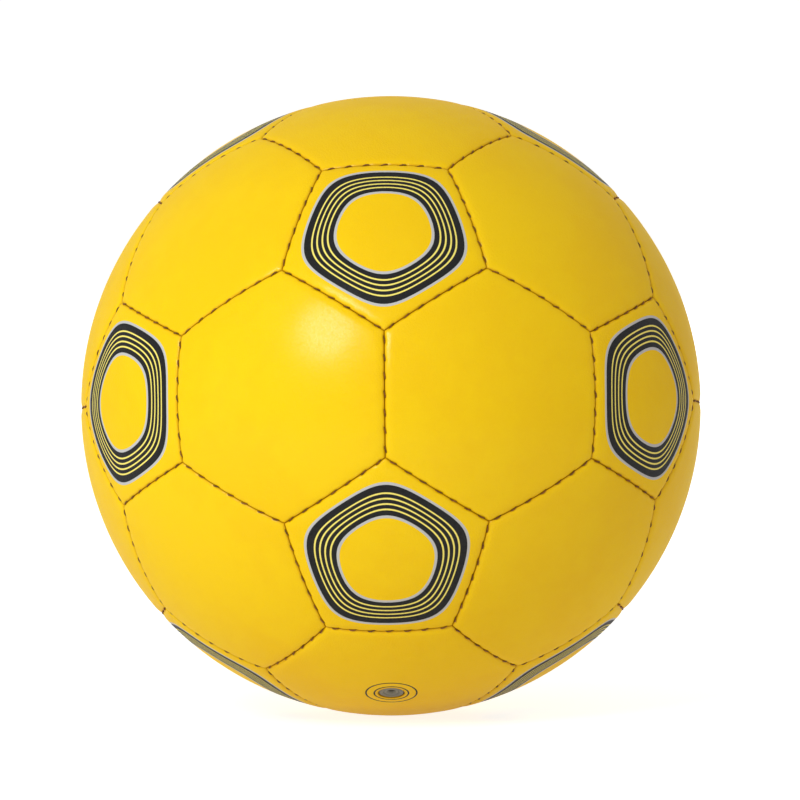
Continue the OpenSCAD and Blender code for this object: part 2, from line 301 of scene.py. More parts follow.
class Nodes:
    """The nodes of one material or world."""

    def __init__(self, owner):
        owner.use_nodes = True
        self.owner = owner
        self.tree = owner.node_tree
        self.tree.nodes.clear()

    def add(self, kind, settings=None, inputs=None, output=0):
        """Adds one node: its settings first, then the values or links of its sockets."""
        node = self.tree.nodes.new(kind)
        for name, value in (settings or {}).items():
            if name == "stops":
                self.fill_ramp(node.color_ramp.elements, value)
            else:
                setattr(node, name, value)
        for name, value in (inputs or {}).items():
            self.feed(node.inputs[name], value)
        return Value(self, node.outputs[output]) if node.outputs else node

    def feed(self, socket, value):
        """Links a value to a socket, or writes a plain number or colour there."""
        if isinstance(value, Value):
            self.tree.links.new(value.socket, socket)
        else:
            socket.default_value = value

    def fill_ramp(self, ramp, stops):
        while len(ramp) > 1:
            ramp.remove(ramp[-1])
        for position, stop in stops[1:]:
            ramp.new(position).color = stop
        ramp[0].position, ramp[0].color = stops[0]

    def math(self, operation, *values):
        return self.add("ShaderNodeMath", {"operation": operation}, dict(enumerate(values)))

    def rise(self, value, low, high):
        """0 below low, 1 above high, and a smooth rise between."""
        inputs = {"Value": value, "From Min": low, "From Max": high}
        return self.add("ShaderNodeMapRange", {"interpolation_type": "SMOOTHSTEP"}, inputs)

    def mix(self, factor, first, second):
        """One colour or the other."""
        return self.add("ShaderNodeMix", {"data_type": "RGBA"}, {0: factor, 6: first, 7: second}, output=2)

    def noise(self, where, scale, detail=2.0):
        return self.add("ShaderNodeTexNoise", inputs={"Vector": where, "Scale": scale, "Detail": detail})

    def cells(self, where, scale, randomness=1.0):
        """The distance from the middles of many small cells."""
        inputs = {"Vector": where, "Scale": scale, "Randomness": randomness}
        return self.add("ShaderNodeTexVoronoi", inputs=inputs)


class Finish(Nodes):
    """A material on one Principled shader."""

    def __init__(self, name, **uniform):
        super().__init__(bpy.data.materials.new(name))
        shader = self.add("ShaderNodeBsdfPrincipled")
        self.shader = shader.socket.node
        self.add("ShaderNodeOutputMaterial", inputs={"Surface": shader})
        self.dress(uniform)

    def dress(self, sockets):
        """Gives the shader's sockets their values or links."""
        for name, value in sockets.items():
            self.feed(self.shader.inputs[name.replace("_", " ")], value)

    def place(self):
        """Object coordinates."""
        return self.add("ShaderNodeTexCoord", output="Object")

    def own(self, name):
        """A number that the piece's mesh carries at each point."""
        return self.add("ShaderNodeAttribute", {"attribute_name": name}, output="Fac")

    def surface(self, height, depth, **changing):
        """Links what changes over the surface, and a bump of a real depth in metres."""
        bump = self.add("ShaderNodeBump", inputs={"Distance": depth, "Height": height, "Strength": 1.0})
        self.dress({"Normal": bump, **changing})
        return self.owner


def opaque(tint, times=(1.0, 1.0, 1.0), plus=0.0):
    """A colour with its opacity, darker or paler where asked."""
    return (*(min(1.0, c * t + plus) for c, t in zip(tint, times)), 1.0)


def flat_place(finish):
    """A panel's own map: how far a point lies from the panel's axis in X and Y, over its height."""
    where = finish.add("ShaderNodeUVMap", {"uv_map": "panel"})
    split = finish.add("ShaderNodeSeparateXYZ", inputs={0: where})
    return split, split.other("Y")


def from_seams(finish, rounding):
    """Distance from a pentagon's seams in metres, rounded where two seams meet."""
    x, y = flat_place(finish)
    slope = 1 / finish.math("SQRT", x * x + y * y + 1)
    tilt = SIDE_ANGLE[5]
    total = 0
    for side in range(5):
        turn = side * 2 * math.pi / 5
        across = x * (math.cos(turn) * math.cos(tilt)) + y * (math.sin(turn) * math.cos(tilt))
        offset = (math.sin(tilt) - across) * slope * BALL_R
        total = finish.math("EXPONENT", offset / -rounding) + total
    return finish.math("LOGARITHM", total, math.e) * -rounding


def between(finish, distance, start, end):
    """1 from start to end and 0 beside them, with the print's soft edges."""
    begun = finish.rise(distance, start - INK_EDGE, start + INK_EDGE)
    return begun * (1 - finish.rise(distance, end - INK_EDGE, end + INK_EDGE))


def ring_print(finish, settings, wander):
    """A pentagon's printed ring, from outside to inside: where it covers the leather, and its colours."""
    colours, sizes = settings.colours, settings.printing
    silver, dark, pale = (opaque(tint) for tint in (colours.keyline, colours.ink, colours.pinstripe))
    stripes = [(sizes.pinstripe, pale), (sizes.stripe_gap, dark)] * sizes.pinstripes
    bands = [(sizes.keyline, silver), (sizes.outer_band, dark), *stripes[:-1]]
    bands += [(sizes.inner_band, dark), (sizes.keyline, silver)]
    total = sum(width for width, _ in bands)
    stops, end = [(0.0, silver)], 0.0
    for (width, before), (_, after) in zip(bands, bands[1:]):
        end += width
        stops += [((end - INK_EDGE) / total, before), ((end + INK_EDGE) / total, after)]
    distance = from_seams(finish, sizes.rounding) + wander - sizes.inset
    ink = finish.add("ShaderNodeValToRGB", {"stops": stops}, {"Fac": distance / total})
    return between(finish, distance, 0.0, total), ink


def valve_print(finish, settings, wander):
    """The two thin rings round the valve: where they cover the leather, and their colour."""
    sizes = settings.printing
    x, y = flat_place(finish)
    off_axis = finish.math("ARCTANGENT", finish.math("SQRT", x * x + y * y)) * BALL_R
    distance = off_axis + wander - sizes.valve_ring_r
    starts = (0.0, sizes.valve_line + sizes.valve_gap)
    inner, outer = (between(finish, distance, start, start + sizes.valve_line) for start in starts)
    return inner + outer, opaque(settings.colours.ink)


def leather(name, settings, printed=None):
    """Yellow synthetic leather: fine pebbled grain, soft gloss, seams in painted shade that partly stands
    for wax, and a print if it has one.
    """
    colours = settings.colours
    finish = Finish(name, Specular_IOR_Level=0.04, Coat_IOR=3.0, Coat_Roughness=0.22)
    place = finish.place()
    drift = finish.noise(place, scale=26, detail=3.0)
    patch = finish.noise(place, scale=170, detail=3.0)
    pebble = finish.cells(place, scale=1500, randomness=0.9)
    fine = finish.noise(place, scale=3400)
    height = 1.0 - pebble * 0.75 + fine * 0.5
    rough = pebble * 0.14 + patch * 0.06 + 0.45
    tone = finish.rise(drift * 0.7 + patch * 0.3, low=0.4, high=0.62)
    base = finish.mix(tone, opaque(colours.leather), opaque(colours.leather_deep))
    if printed:
        covered, ink = printed(finish, settings, (fine - 0.5) * INK_WANDER)
        base = finish.mix(covered, base, ink)
        rough = rough - covered * 0.02
        height = height + covered * 0.35
    edge_reach = finish.own("edge_reach")
    # Painted shade: the leather turns darker yellow beside each seam and brown in it, by its distance from
    # the seam; the brown stands partly for wax.
    for tint, share, low, high in ((colours.seam_edge, 0.55, 0.2, 0.9), (colours.seam, 0.65, 0.05, 0.3)):
        clear = finish.rise(edge_reach, low * MM, high * MM)
        base = finish.mix(share - clear * share, base, opaque(tint))
    gloss = 0.078 - pebble * 0.05
    return finish.surface(height, GRAIN_DEPTH, Base_Color=base, Roughness=rough, Coat_Weight=gloss)


def thread_finish(settings):
    """Waxed two-ply thread with fine fibres, paler where the wax has worn."""
    tint = settings.colours.thread
    finish = Finish("waxed_thread", Specular_IOR_Level=0.35)
    place = finish.place()
    fibre = finish.noise(place, scale=5200, detail=3.0)
    worn = finish.rise(finish.noise(place, scale=420), low=0.42, high=0.66)
    base = finish.mix(worn, opaque(tint), opaque(tint, times=(1.9, 1.9, 1.9)))
    return finish.surface(fibre, FIBRE_DEPTH, Base_Color=base, Roughness=fibre * 0.2 + 0.42)


def foam_finish(settings):
    """Closed-cell foam: pale, matt, full of small cells, warmer in places."""
    tint = settings.colours.foam
    finish = Finish("closed_cell_foam", Specular_IOR_Level=0.2)
    place = finish.place()
    cells = finish.cells(place, scale=900)
    drift = finish.rise(finish.noise(place, scale=60), low=0.4, high=0.7)
    base = finish.mix(drift, opaque(tint), opaque(tint, times=(0.94, 0.9, 0.8)))
    return finish.surface(cells, FOAM_DEPTH, Base_Color=base, Roughness=cells * 0.1 + 0.78)


def cloth_finish(settings):
    """Plain-woven cotton and polyester, stiff with adhesive, woven along each panel's own map."""
    tint = settings.colours.cloth
    finish = Finish("woven_lining", Specular_IOR_Level=0.15)
    place = finish.place()
    turns = math.tau * BALL_R / WEAVE_PITCH
    warp, weft = (finish.math("SINE", way * turns) for way in flat_place(finish))
    weave = warp * weft * 0.5 + 0.5
    slub = finish.noise(place, scale=240, detail=3.0)
    # Painted shade: the weave's low points between the threads are darker, mixed with the slub's random
    # tone.
    raised = finish.rise(weave * 0.7 + slub * 0.3, low=0.25, high=0.7)
    base = finish.mix(raised, opaque(tint, times=(0.72, 0.72, 0.72)), opaque(tint))
    return finish.surface(weave + slub * 0.4, WEAVE_DEPTH, Base_Color=base, Roughness=slub * 0.1 + 0.82)


def rubber_finish(name, tint, dust, rough):
    """Moulded rubber with a fine skin and a little dust."""
    finish = Finish(name, Specular_IOR_Level=0.4)
    place = finish.place()
    cloud = finish.noise(place, scale=70, detail=4.0)
    skin = finish.noise(place, scale=2600, detail=3.0)
    dusty = finish.rise(cloud * 0.7 + skin * 0.3, low=0.45, high=0.7)
    base = finish.mix(dusty, opaque(tint), opaque(tint, plus=dust))
    return finish.surface(skin, RUBBER_DEPTH, Base_Color=base, Roughness=cloud * 0.15 + rough)


# Panels

# A face's rows from its middle to its seam, and the parts that its rim has for each. The underside has
# one row for four of the face's.
COVER_CUTS = (28, 3)
BACKING_CUTS = (8, 1)
UNDERSIDE_COARSER = 4

# A cover's rows near its seam, in millimetres from it, and round its shoulder, in degrees
FACE_ROWS = (5.0, 4.2, 3.5, 2.9, 2.4, 1.95, 1.6, 1.3, 1.05, 0.85)
SHOULDER_ROWS = (0, 20, 37, 52, 66, 79, 90)

# The rows of foam and lining near their edge, in millimetres from it and below the face
BACKING_RIM = ((3, 0), (1, 0), (0.3, 0.02), (0.1, 0.08), (0, 0.25))

# The rows down a turned edge, and in a panel with a hole those from the hole to the rim, back to the hole
# and up its wall, as shares of the way
EDGE_ROWS = (0.35, 0.7, 1.0)
FACE_FROM_HOLE = (0.985, 0.965, 0.94, 0.9, 0.85, 0.78, 0.7, 0.6, 0.5, 0.4, 0.3, 0.2, 0.1, 0)
UNDERSIDE_TO_HOLE = (0.25, 0.5, 0.75, 1.0)
HOLE_WALL_ROWS = (0.3, 0.6, 0.85, 1.0)

# A stitch's mark on the face: its reach, its groove, the holes at its ends and the edges drawn in beside it
DENT_REACH = 4 * MM
GROOVE_WIDTH, GROOVE_END = 0.42 * MM, 0.12 * MM
HOLE_WIDTH, HOLE_LENGTH, HOLE_DEPTH = 0.38 * MM, 0.4 * MM, 0.9
DRAWN_ALONG, DRAWN_ACROSS = 1.5 * MM, 1.1 * MM

# How softly two edges meet in a panel's corner
FACE_CORNER, SHOULDER_CORNER = 0.6 * MM, 0.15 * MM
HOLE_DIP_WIDTH = 0.35 * MM

# Soft waves across the ball: their directions with their density, and their phases
WAVES = (((41, 13, -29), 0.4), ((-17, 47, 23), 1.9), ((31, -37, 39), 3.1), ((73, 52, -61), 5.0))

# Large uneven numbers, which make a chance number out of a direction
MIXERS, SALTING, SPREAD = (127.1, 311.7, 74.7), 19.19, 43758.5453


class Place:
    """Where one panel lies: its CAD node, how many sides it has, and the turn from its own frame to the
    ball's. Its frame has +Z out of its middle and +X towards a side that meets the other kind of panel."""

    def __init__(self, centre, neighbours, sides):
        near = max(neighbours, key=centre.dot)
        x = (near - near.dot(centre) * centre).normalized()
        self.sides = sides
        self.turn = BALL_TURN @ Matrix((x, centre.cross(x), centre)).transposed()
        out = self.turn.col[2]
        named = {n: o for n, o in frame["nodes"].items() if n.endswith(f"{KINDS[sides]}_panel")}
        self.node = max(named, key=lambda n: out.dot(middle_of(named[n])))
        self.has_valve = out.dot(VALVE_AXIS) > SAME_WAY_COSINE

    def world(self, vector):
        return self.turn @ Vector(vector)

    def hole_r(self, valve):
        """The radius of the hole for the valve's neck, 0 where the panel has none."""
        return valve.neck_d / 2 + valve.neck_gap if self.has_valve else 0.0

    def sews(self, side):
        """Whether the stitches of this side are laid from this panel, which one of its two panels does."""
        across = self.world(side_frame(self.sides, side)[0])
        return self.sides == 5 or (side % 2 == 1 and across.dot(ODD_WAY) > 0)


def places(sides):
    """The places of all pentagons or all hexagons."""
    middles, neighbours = (PENTAGONS, HEXAGONS) if sides == 5 else (HEXAGONS, PENTAGONS)
    return [Place(centre, neighbours, sides) for centre in middles]


def middle_of(node):
    """The direction from the ball's middle to a CAD node's."""
    found = np.zeros(len(node.data.vertices) * 3)
    node.data.vertices.foreach_get("co", found)
    return Vector(found.reshape(-1, 3).mean(0)).normalized()


def side_frame(sides, side):
    """The directions square to a seam's plane, along the seam and out to its middle."""
    tilt, turn = SIDE_ANGLE[sides], side * 2 * math.pi / sides
    across = Vector((math.cos(tilt) * math.cos(turn), math.cos(tilt) * math.sin(turn), -math.sin(tilt)))
    along = Vector((-math.sin(turn), math.cos(turn), 0))
    out = Vector((math.sin(tilt) * math.cos(turn), math.sin(tilt) * math.sin(turn), math.cos(tilt)))
    return across, along, out


def points_of(sides, spot, level, inward, hole_r):
    """The points of a tray from where they were put: side, share of the way to its corner and offset from
    the seam, the radius, and how far they have gone from the rim's polygon to the round hole."""
    side, portion, offset = spot.T
    tilt, tangent = SIDE_ANGLE[sides], math.tan(math.pi / sides)
    run = np.sqrt(level**2 - offset**2)
    lean = tangent * math.sin(tilt)
    corner = math.atan(lean) - np.arcsin(tangent * offset * math.cos(tilt) / (run * math.hypot(1, lean)))
    arc = portion * corner
    along, height = run * np.sin(arc), run * np.cos(arc)
    out = height * math.sin(tilt) - offset * math.cos(tilt)
    turn = side * 2 * math.pi / sides
    x = out * np.cos(turn) - along * np.sin(turn)
    y = out * np.sin(turn) + along * np.cos(turn)
    found = np.stack([x, y, height * math.cos(tilt) + offset * math.sin(tilt)], axis=1)
    if hole_r:
        way = np.arctan2(y, x)
        rise = np.sqrt(level**2 - hole_r**2)
        ring = np.stack([np.cos(way) * hole_r, np.sin(way) * hole_r, rise], axis=1)
        found += (ring - found) * inward[:, None]
        found *= (level / np.linalg.norm(found, axis=1))[:, None]
    return found


def smoothed(bm):
    """Turns the faces of closed shapes outwards and shades them smooth."""
    bmesh.ops.recalc_face_normals(bm, faces=bm.faces)
    for face in bm.faces:
        face.smooth = True


def spun(bm, geom, axis, turn, steps, rise=(0, 0, 0)):
    """Spins points and edges about an axis through the middle. Without a rise the full turn is closed."""
    bmesh.ops.spin(
        bm,
        geom=geom,
        cent=(0, 0, 0),
        axis=axis,
        dvec=rise,
        angle=turn,
        steps=steps,
        use_merge=not any(rise),
        use_duplicate=False,
    )


def written(bm, name):
    mesh = bpy.data.meshes.new(name)
    bm.to_mesh(mesh)
    bm.free()
    return mesh


def put(name, data):
    """A new object in the scene."""
    made = bpy.data.objects.new(name, data)
    bpy.context.scene.collection.objects.link(made)
    return made


def finished(mesh, body, material, node):
    """Makes a piece: it rides on its body, takes the given finish and hides the CAD node that it stands
    for.
    """
    piece = put(mesh.name, mesh)
    mesh.materials.append(material)
    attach(piece, body)
    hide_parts(node)


def add_copy(whole, shape, matrix):
    """Adds a turned and moved copy of a shape to a larger mesh."""
    start = len(whole.verts)
    whole.from_mesh(shape)
    whole.verts.ensure_lookup_table()
    bmesh.ops.transform(whole, matrix=matrix, verts=whole.verts[start:])


class Tray:
    """The mesh of one layer of a panel, with turned edges, still in the panel's own frame."""

    def __init__(self, sides, cuts, layer, end_r, rim, hole_r):
        skin_r, wall_t, edge = layer
        rows, split = cuts
        self.sides, self.hole_r, self.skin_r = sides, hole_r, skin_r
        self.bm = bmesh.new()
        layers = self.bm.verts.layers
        self.spot = layers.float_vector.new("spot")
        self.level = layers.float.new("level")
        self.inward = layers.float.new("inward")
        start = rim[0][0]
        inner_edge, inner_r = edge + wall_t, skin_r - wall_t
        walls = [(edge, skin_r + (end_r - skin_r) * s) for s in EDGE_ROWS]
        walls += [(inner_edge, end_r), (inner_edge, inner_r)]
        if hole_r:
            loop = self.hole_ring(rows * split, start)
            for inward in FACE_FROM_HOLE:
                loop = self.grow(loop, start, skin_r, inward)
        else:
            loop = self.filled(rows, split, start, skin_r)
        for offset, radius in rim[1:] + walls:
            loop = self.grow(loop, offset, radius)
        if hole_r:
            for inward in UNDERSIDE_TO_HOLE:
                loop = self.grow(loop, inner_edge, inner_r, inward)
            for portion in HOLE_WALL_ROWS:
                loop = self.grow(loop, start, inner_r + (skin_r - inner_r) * portion, 1.0)
        else:
            self.filled(rows // UNDERSIDE_COARSER, split * UNDERSIDE_COARSER, inner_edge, inner_r)
        self.close()

    def circle(self, segments, **caps):
        """Adds a circle that starts between two sides."""
        turn = Matrix.Rotation(math.pi / self.sides - math.pi / 2, 4, "Z")
        bmesh.ops.create_circle(self.bm, segments=segments, radius=1, matrix=turn, **caps)

    def filled(self, rows, split, offset, radius):
        """A polygon filled with rows of triangles, its rim cut finer. Returns the rim's edges."""
        self.circle(self.sides, cap_ends=True, cap_tris=True)
        bmesh.ops.subdivide_edges(self.bm, edges=self.unplaced(), cuts=rows - 1, use_grid_fill=True)
        if split > 1:
            rim = [edge for edge in self.unplaced() if edge.is_boundary]
            bmesh.ops.subdivide_edges(self.bm, edges=rim, cuts=split - 1)
        rim = [edge for edge in self.unplaced() if edge.is_boundary]
        deepest = radius * math.sin(SIDE_ANGLE[self.sides])
        half = math.pi / self.sides
        for vert in self.bm.verts:
            if vert[self.level]:
                continue
            side = round(math.atan2(vert.co.y, vert.co.x) / (2 * half))
            turned = Matrix.Rotation(-side * 2 * half, 3, "Z") @ vert.co
            depth = turned.x / math.cos(half)
            portion = turned.y / (turned.x * math.tan(half)) if turned.x > WELD else 0.0
            vert[self.spot] = (side, portion, deepest + (offset - deepest) * depth)
            vert[self.level] = radius
        return rim

    def unplaced(self):
        """The edges of a newly made polygon."""
        return [edge for edge in self.bm.edges if not any(vert[self.level] for vert in edge.verts)]

    def hole_ring(self, per_side, offset):
        """The round edge of a hole, with as many points to a side as the rim has. Returns its edges."""
        self.circle(self.sides * per_side, cap_ends=False)
        for vert in self.bm.verts:
            azimuth = math.atan2(vert.co.y, vert.co.x) / (2 * math.pi / self.sides)
            vert[self.spot] = (round(azimuth), (azimuth - round(azimuth)) * 2, offset)
            vert[self.level], vert[self.inward] = self.skin_r, 1.0
        return self.bm.edges[:]

    def grow(self, loop, offset, radius, inward=0.0):
        """Extrudes a closed row of edges to its next place, and returns the new row."""
        grown = bmesh.ops.extrude_edge_only(self.bm, edges=loop)["geom"]
        verts = {g for g in grown if isinstance(g, bmesh.types.BMVert)}
        for vert in verts:
            vert[self.spot] = (vert[self.spot].x, vert[self.spot].y, offset)
            vert[self.level], vert[self.inward] = radius, inward
        return [g for g in grown if isinstance(g, bmesh.types.BMEdge) and verts.issuperset(g.verts)]

    def read(self):
        """Each point's side, share and offset, its radius and its inward share."""
        spot = np.array([v[self.spot][:] for v in self.bm.verts])
        level = np.array([v[self.level] for v in self.bm.verts])
        inward = np.array([v[self.inward] for v in self.bm.verts])
        return spot, level, inward

    def close(self):
        """Puts the points in place, welds the ends, turns the faces out and writes the panel's own map."""
        for vert, point in zip(self.bm.verts, points_of(self.sides, *self.read(), self.hole_r)):
            vert.co = point
        bmesh.ops.remove_doubles(self.bm, verts=self.bm.verts, dist=WELD)
        smoothed(self.bm)
        own_map = self.bm.loops.layers.uv.new("panel")
        for face in self.bm.faces:
            for corner in face.loops:
                x, y, z = corner.vert.co
                corner[own_map].uv = (x / z, y / z)

    def shape(self):
        """The tray's mesh, without the numbers that only its making needs."""
        layers = self.bm.verts.layers
        layers.float_vector.remove(layers.float_vector["spot"])
        for name in ("level", "inward"):
            layers.float.remove(layers.float[name])
        return written(self.bm, "tray_shape")


def steady(direction, salt):
    """A chance number from -1 to 1 that a place on the ball always gives."""
    key = sum(round(c, 3) * w for c, w in zip(direction, MIXERS)) + salt * SALTING
    value = math.sin(key) * SPREAD
    return 2 * (value - math.floor(value)) - 1


def stitches_of(place, side, sizes):
    """The stitches of one side, in the panel's frame: the middle, the directions beside and along the
    thread, and its pull. Both panels of a seam give the same ones."""
    across, along, out = side_frame(place.sides, side)
    count = max(1, round(BALL_R * SEAM_ANGLE / sizes.pitch))
    sign = 1 if place.world(along).dot(ODD_WAY) > 0 else -1
    for i in range(count):
        arc = SEAM_ANGLE * ((i + 0.5) / count - 0.5)
        key = place.world(out * math.cos(arc) + along * math.sin(arc))
        arc += sign * steady(key, 1) * sizes.stray / BALL_R
        slant = sizes.slant + sizes.lean * steady(key, 2)
        middle = out * math.cos(arc) + along * math.sin(arc)
        seam = along * math.cos(arc) - out * math.sin(arc)
        beside = across * math.cos(slant) + seam * math.sin(slant)
        thread = seam * math.cos(slant) - across * math.sin(slant)
        yield middle, beside, thread, 1 + sizes.pull * steady(key, 3)


def soft_least(numbers, softness):
    """The least number of each row, rounded where two are alike."""
    return -softness * np.log(np.exp(-numbers / softness).sum(axis=1))


def face_depth(place, unit, settings):
    """How far the leather's face lies below the ball at each of these directions from its middle."""
    sizes, half = settings.panels, settings.stitches.reach / 2
    normals = np.array([side_frame(place.sides, side)[0] for side in range(place.sides)])
    offsets = -BALL_R * unit @ normals.T
    edge = np.clip(1 - soft_least(offsets, FACE_CORNER) / sizes.fall_width, 0, 1)
    shoulder = sizes.shoulder_r + sizes.seam_half - soft_least(offsets, SHOULDER_CORNER)
    into = np.clip(shoulder / sizes.shoulder_r, 0, 1)
    depth = sizes.fall * edge**2 + sizes.shoulder_r * (1 - np.sqrt(1 - into**2))
    least = offsets.min(axis=1)
    for side in range(place.sides):
        for _, beside, thread, pull in stitches_of(place, side, settings.stitches):
            q, p = BALL_R * unit @ np.array(beside), BALL_R * unit @ np.array(thread)
            near = (np.abs(p) < DENT_REACH) & (np.abs(q) < DENT_REACH)
            q, p, drop = q[near], p[near], least[near]
            past_end = np.abs(p) - half
            groove = np.exp(-((q / GROOVE_WIDTH) ** 2)) / (1 + np.exp(past_end / GROOVE_END))
            hole = np.exp(-((q / HOLE_WIDTH) ** 2) - (past_end / HOLE_LENGTH) ** 2)
            drawn = np.exp(-((p / DRAWN_ALONG) ** 2) - drop / DRAWN_ACROSS)
            depth[near] += pull * (sizes.dent * (groove + HOLE_DEPTH * hole) + sizes.pucker * drawn)
    world = unit @ np.array(place.turn).T
    for k, (way, phase) in enumerate(WAVES):
        depth += sizes.unevenness * (0.5 + 0.5 * np.sin(world @ np.array(way) + phase)) / (2 + k)
    return depth


def layer_sizes(sizes):
    """Each layer's skin radius, wall and edge, and the radius where all turned edges end."""
    cover = (BALL_R, sizes.cover_t, sizes.seam_half)
    foam = (BALL_R - sizes.cover_t - sizes.bond_t, sizes.foam_t, cover[2] + sizes.cover_t + sizes.bond_t)
    lining = (foam[0] - sizes.foam_t - sizes.bond_t, sizes.lining_t, foam[2] + sizes.foam_t + sizes.bond_t)
    return cover, foam, lining, lining[0] - sizes.lining_t - sizes.edge_overhang


def cover_shape(sides, sizes, hole_r):
    """A cover before its stitches: its mesh, its points, which of them are on its face, and how far each
    of these lies from a seam."""
    cover, _, _, end_r = layer_sizes(sizes)
    skin_r, _, edge = cover
    offsets = [s * MM for s in FACE_ROWS]
    offsets += [edge + sizes.shoulder_r * (1 - math.sin(math.radians(a))) for a in SHOULDER_ROWS]
    tray = Tray(sides, COVER_CUTS, cover, end_r, [(offset, skin_r) for offset in offsets], hole_r)
    spot, level, _ = tray.read()
    on_face = (level > skin_r - CLOSE) & (spot[:, 2] >= edge - CLOSE)
    points = np.array([v.co[:] for v in tray.bm.verts])
    normals = np.array([side_frame(sides, side)[0] for side in range(sides)])
    # Points off the face count as on a seam, so the turned edges and walls are all in the seams' painted
    # shade.
    reach = np.where(on_face, (-points @ normals.T).min(axis=1), 0.0)
    return tray.shape(), points, on_face, reach


def leather_panels(settings, sides, finish_for):
    """The covers of all pentagons or all hexagons, each with its own stitches' dents."""
    sizes = settings.panels
    shapes = {}
    for place in places(sides):
        hole_r = place.hole_r(settings.valve)
        if hole_r not in shapes:
            shapes[hole_r] = cover_shape(sides, sizes, hole_r)
        shape, points, on_face, reach = shapes[hole_r]
        far = np.linalg.norm(points, axis=1)
        unit, depth = points / far[:, None], BALL_R - far
        depth[on_face] = face_depth(place, unit[on_face], settings)
        if hole_r:
            from_hole = np.clip(np.hypot(points[:, 0], points[:, 1]) - hole_r, 0, 1)
            # The seams' painted shade also falls round the valve's hole and down its wall.
            reach = np.minimum(reach, from_hole)
            depth[on_face] += sizes.hole_dip * np.exp(-from_hole[on_face] / HOLE_DIP_WIDTH)
        turned = (unit * (BALL_R - depth)[:, None]) @ np.array(place.turn).T
        mesh = shape.copy()
        mesh.name = place.node.replace("_panel", "_leather")
        mesh.vertices.foreach_set("co", turned.astype(np.float32).ravel())
        own = mesh.attributes.new("edge_reach", "FLOAT", "POINT")
        own.data.foreach_set("value", reach.astype(np.float32))
        mesh.update()
        finished(mesh, "ball", finish_for(place), place.node)
    for shape, *_ in shapes.values():
        bpy.data.meshes.remove(shape)


def backing(settings, sides, layer, what, material):
    """The foam or the lining behind all panels of one kind, as one piece."""
    skin_r, _, edge = layer
    end_r = layer_sizes(settings.panels)[3]
    rim = [(edge + away * MM, skin_r - below * MM) for away, below in BACKING_RIM]
    shapes = {}
    whole = bmesh.new()
    for place in places(sides):
        hole_r = place.hole_r(settings.valve)
        if hole_r not in shapes:
            shapes[hole_r] = Tray(sides, BACKING_CUTS, layer, end_r, rim, hole_r).shape()
        add_copy(whole, shapes[hole_r], place.turn.to_4x4())
    for shape in shapes.values():
        bpy.data.meshes.remove(shape)
    node = f"{KINDS[sides]}_{what}"
    finished(written(whole, f"{node}_layer"), "ball", material, node)


# Stitches

THREAD_CORNERS, THREAD_STEPS = 8, 7

# How flat a thread is, how late it bends down, and how much and how late it thins
THREAD_FLATNESS = 0.66
DIVE_CURVE = 2.6
END_THINNING, THINNING_CURVE = 0.25, 4


def one_stitch(sizes):
    """One length of two-ply thread along Y, its middle on the origin and its ends bent into their holes."""
    bm = bmesh.new()
    radius = sizes.thread_d / 2
    ring = bmesh.ops.create_circle(bm, cap_ends=False, segments=THREAD_CORNERS, radius=radius)["verts"]
    bmesh.ops.scale(bm, vec=(1, THREAD_FLATNESS, 1), verts=ring)
    bmesh.ops.rotate(bm, cent=(0, 0, 0), matrix=Matrix.Rotation(math.radians(90), 3, "X"), verts=ring)
    bmesh.ops.translate(bm, vec=(0, -sizes.reach / 2, 0), verts=ring)
    rise = (0, sizes.reach / THREAD_STEPS, 0)
    spun(bm, bm.verts[:] + bm.edges[:], (0, 1, 0), sizes.twist * math.tau, THREAD_STEPS, rise)
    bmesh.ops.holes_fill(bm, edges=[e for e in bm.edges if e.is_boundary], sides=0)
    for vert in bm.verts:
        reach = abs(vert.co.y) / (sizes.reach / 2)
        vert.co.z -= sizes.dive * reach**DIVE_CURVE
        vert.co.x *= 1 - END_THINNING * reach**THINNING_CURVE
    smoothed(bm)
    return written(bm, "stitch_shape")


def stitch_row(settings, sides, material):
    """All stitches round the pentagons, or all between two hexagons, as one piece."""
    sizes, kind = settings.stitches, KINDS[sides]
    shape = one_stitch(sizes)
    whole = bmesh.new()
    sewn = [(place, side) for place in places(sides) for side in range(sides) if place.sews(side)]
    for place, side in sewn:
        for middle, beside, thread, pull in stitches_of(place, side, sizes):
            turn = Matrix([place.world(d) for d in (beside, thread, middle)]).transposed().to_4x4()
            depth = sizes.sink + (pull - 1) * sizes.pull_depth
            turn.translation = place.world(middle) * (BALL_R - depth)
            add_copy(whole, shape, turn)
    bpy.data.meshes.remove(shape)
    finished(written(whole, f"{kind}_stitches"), "ball", material, f"{kind}_seam_stitches")


# Bladder and valve

BLADDER_STEPS, VALVE_STEPS, PLUG_STEPS = 96, 72, 64
BLADDER_ROWS, PATCH_ROWS = 64, 10
ARC_STEPS = 2
SHARP = math.radians(40)

# How far corners are rounded, and the most of a side that one corner may take
PATCH_ROUNDING, HOUSING_ROUNDING, PLUG_ROUNDING = 0.3 * MM, 0.15 * MM, 0.08 * MM
SIDE_SHARE = 1 / 2.2

# The flange's rows, as shares of its radius, from the barrel out and back in to the neck
FLANGE_UNDER, FLANGE_OVER = (0.75, 1), (1, 0.75, 0.5)

# Sloping edges, each as its width and its height
NECK_EDGE = (0.35 * MM, 0.1 * MM)
BORE_MOUTH, BORE_MOUTH_BEND = (0.45 * MM, 0.3 * MM), (0.2 * MM, 0.18 * MM)
NEEDLE_END = (0.4 * MM, 0.3 * MM)
PLUG_EDGE = 0.12 * MM
FUNNEL_LIP = 0.1 * MM


